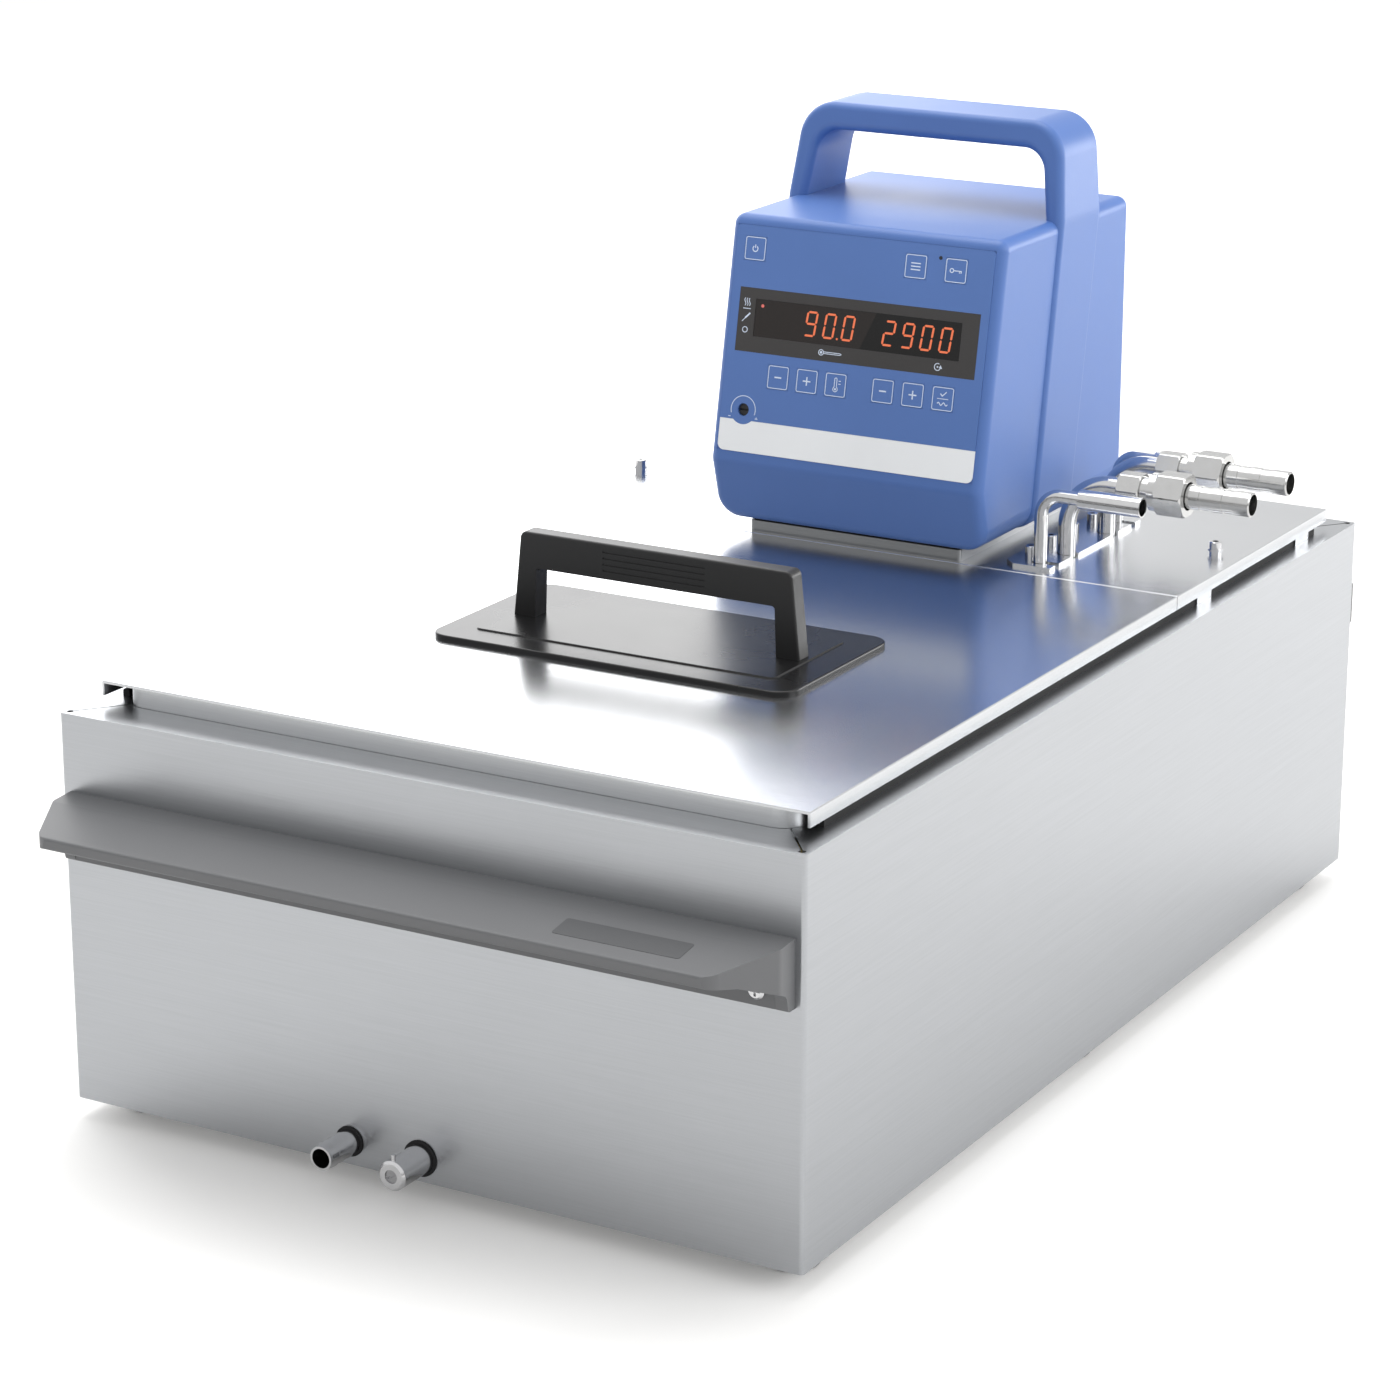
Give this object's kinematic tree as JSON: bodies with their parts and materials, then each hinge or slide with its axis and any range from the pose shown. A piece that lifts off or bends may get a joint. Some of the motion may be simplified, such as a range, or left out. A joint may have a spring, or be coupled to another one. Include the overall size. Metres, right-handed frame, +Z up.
{
  "type": "circulating water bath",
  "caption": "Laboratory water bath: insulated steel tank with lift-off lid and small handled cover, and an immersion circulator with display, keys, pump pipes and carrying handle.",
  "frame": {"origin": "centre of the overall box, on the floor under the feet", "axes": "+Z up, -Y towards the operator (front panel and display), +X to the operator's right, where the hose connections point"},
  "size_m": [0.3454, 0.6046, 0.365],
  "materials": {
    "sheet_steel": "satin brushed",
    "tank_steel": "drawn, satin",
    "lid_steel": "near mirror",
    "black_rubber": "matte",
    "foam": "porous",
    "brass": "machined",
    "bright_steel": "bright",
    "seal_plug": "matte",
    "grey_plastic": "fine texture",
    "black_plastic": "semi gloss",
    "black_handle": "satin",
    "blue_plastic": "fine texture",
    "foil": "satin",
    "white_strip": "satin",
    "dark_window": "gloss",
    "digits": "lit",
    "circuit_board": "satin",
    "adjuster_plastic": "satin",
    "motor_metal": "cast",
    "shaft_steel": "ground",
    "fan_plastic": "satin",
    "pump_steel": "satin",
    "heater_metal": "bright",
    "float_plastic": "satin",
    "tube_steel": "bright",
    "union_steel": "bright",
    "socket_plastic": "satin",
    "switch_plastic": "semi gloss",
    "socket_metal": "satin",
    "key_plastic": "satin"
  },
  "bodies": {
    "bath": {"casing": "sheet_steel", "base_plate": "sheet_steel", "tub": "tank_steel", "bridge_plate": "lid_steel", "neck_frame": "sheet_steel", "feet": "black_rubber", "drain_seals": "black_rubber", "neck_seal": "black_rubber", "insulation": "foam", "drain_block": "brass", "drain_nozzle": "bright_steel", "drain_valve_body": "bright_steel", "front_handle": "grey_plastic", "rear_handle": "grey_plastic", "handle_screws": "bright_steel", "bridge_screws": "bright_steel", "shell_screws": "bright_steel", "head_front_shell": "blue_plastic", "head_rear_shell": "blue_plastic", "fascia_foil": "foil", "name_strip": "white_strip", "display_window": "dark_window", "display_digits": "digits", "control_board": "circuit_board", "power_board": "circuit_board", "motor_housing": "motor_metal", "motor_bearings": "bright_steel", "pump_housing": "pump_steel", "pump_columns": "bright_steel", "heater_coil": "heater_metal", "temperature_sensors": "bright_steel", "float_guide": "bright_steel", "cooling_coil": "tube_steel", "pump_pipes": "tube_steel", "pipe_unions": "union_steel", "union_nuts": "union_steel", "hose_nozzles": "union_steel", "pipe_plate": "bright_steel", "mains_inlet": "socket_plastic", "data_socket": "socket_metal"},
    "lid": {"lid_plate": "lid_steel"},
    "cover": {"cover_plate": "black_plastic", "cover_handle": "black_handle"},
    "rotor": {"rotor_shaft": "shaft_steel", "motor_fan": "fan_plastic", "pump_impeller": "fan_plastic"},
    "float": {"level_float": "float_plastic"},
    "spindle": {"drain_spindle": "bright_steel", "drain_plug": "seal_plug"},
    "adjuster": {"safety_adjuster": "adjuster_plastic"},
    "rocker": {"rocker_switch": "switch_plastic"},
    "key_power": {"key_power": "key_plastic"},
    "key_menu": {"key_menu": "key_plastic"},
    "key_lock": {"key_lock": "key_plastic"},
    "key_heat_minus": {"key_heat_minus": "key_plastic"},
    "key_heat_plus": {"key_heat_plus": "key_plastic"},
    "key_heat_set": {"key_heat_set": "key_plastic"},
    "key_pump_minus": {"key_pump_minus": "key_plastic"},
    "key_pump_plus": {"key_pump_plus": "key_plastic"},
    "key_pump_set": {"key_pump_set": "key_plastic"}
  },
  "joints": [
    {"name": "lid_lift", "type": "slide", "parent": "bath", "child": "lid", "axis": [0, -0.4226, 0.9063], "range_m": [0, 0.25]},
    {"name": "cover_lift", "type": "slide", "parent": "lid", "child": "cover", "axis": [0, 0, 1], "range_m": [0, 0.15]},
    {"name": "rotor_spin", "type": "hinge", "parent": "bath", "child": "rotor", "pos_m": [-0.00225, 0.15, 0.065], "axis": [0, 0, 1], "continuous": true},
    {"name": "float_rise", "type": "slide", "parent": "bath", "child": "float", "axis": [0, 0, 1], "range_m": [0, 0.025]},
    {"name": "drain_spindle_turn", "type": "hinge", "parent": "bath", "child": "spindle", "pos_m": [-0.00565, -0.2635, 0.0188], "axis": [0, -1, 0], "range_deg": [0, 90]},
    {"name": "adjuster_turn", "type": "hinge", "parent": "bath", "child": "adjuster", "pos_m": [-0.05405, 0.07296, 0.23926], "axis": [0, -0.9813, 0.1925], "range_deg": [-270, 0]},
    {"name": "rocker_flip", "type": "hinge", "parent": "bath", "child": "rocker", "pos_m": [-0.01275, 0.2145, 0.2225], "axis": [1, 0, 0], "range_deg": [-20, 0]},
    {"name": "key_power_press", "type": "slide", "parent": "bath", "child": "key_power", "axis": [0, 0.9813, -0.1925], "range_m": [0, 0.0004], "stiffness_N_per_m": 500, "springref_m": -0.002},
    {"name": "key_menu_press", "type": "slide", "parent": "bath", "child": "key_menu", "axis": [0, 0.9813, -0.1925], "range_m": [0, 0.0004], "stiffness_N_per_m": 500, "springref_m": -0.002},
    {"name": "key_lock_press", "type": "slide", "parent": "bath", "child": "key_lock", "axis": [0, 0.9813, -0.1925], "range_m": [0, 0.0004], "stiffness_N_per_m": 500, "springref_m": -0.002},
    {"name": "key_heat_minus_press", "type": "slide", "parent": "bath", "child": "key_heat_minus", "axis": [0, 0.9813, -0.1925], "range_m": [0, 0.0004], "stiffness_N_per_m": 500, "springref_m": -0.002},
    {"name": "key_heat_plus_press", "type": "slide", "parent": "bath", "child": "key_heat_plus", "axis": [0, 0.9813, -0.1925], "range_m": [0, 0.0004], "stiffness_N_per_m": 500, "springref_m": -0.002},
    {"name": "key_heat_set_press", "type": "slide", "parent": "bath", "child": "key_heat_set", "axis": [0, 0.9813, -0.1925], "range_m": [0, 0.0004], "stiffness_N_per_m": 500, "springref_m": -0.002},
    {"name": "key_pump_minus_press", "type": "slide", "parent": "bath", "child": "key_pump_minus", "axis": [0, 0.9813, -0.1925], "range_m": [0, 0.0004], "stiffness_N_per_m": 500, "springref_m": -0.002},
    {"name": "key_pump_plus_press", "type": "slide", "parent": "bath", "child": "key_pump_plus", "axis": [0, 0.9813, -0.1925], "range_m": [0, 0.0004], "stiffness_N_per_m": 500, "springref_m": -0.002},
    {"name": "key_pump_set_press", "type": "slide", "parent": "bath", "child": "key_pump_set", "axis": [0, 0.9813, -0.1925], "range_m": [0, 0.0004], "stiffness_N_per_m": 500, "springref_m": -0.002}
  ]
}
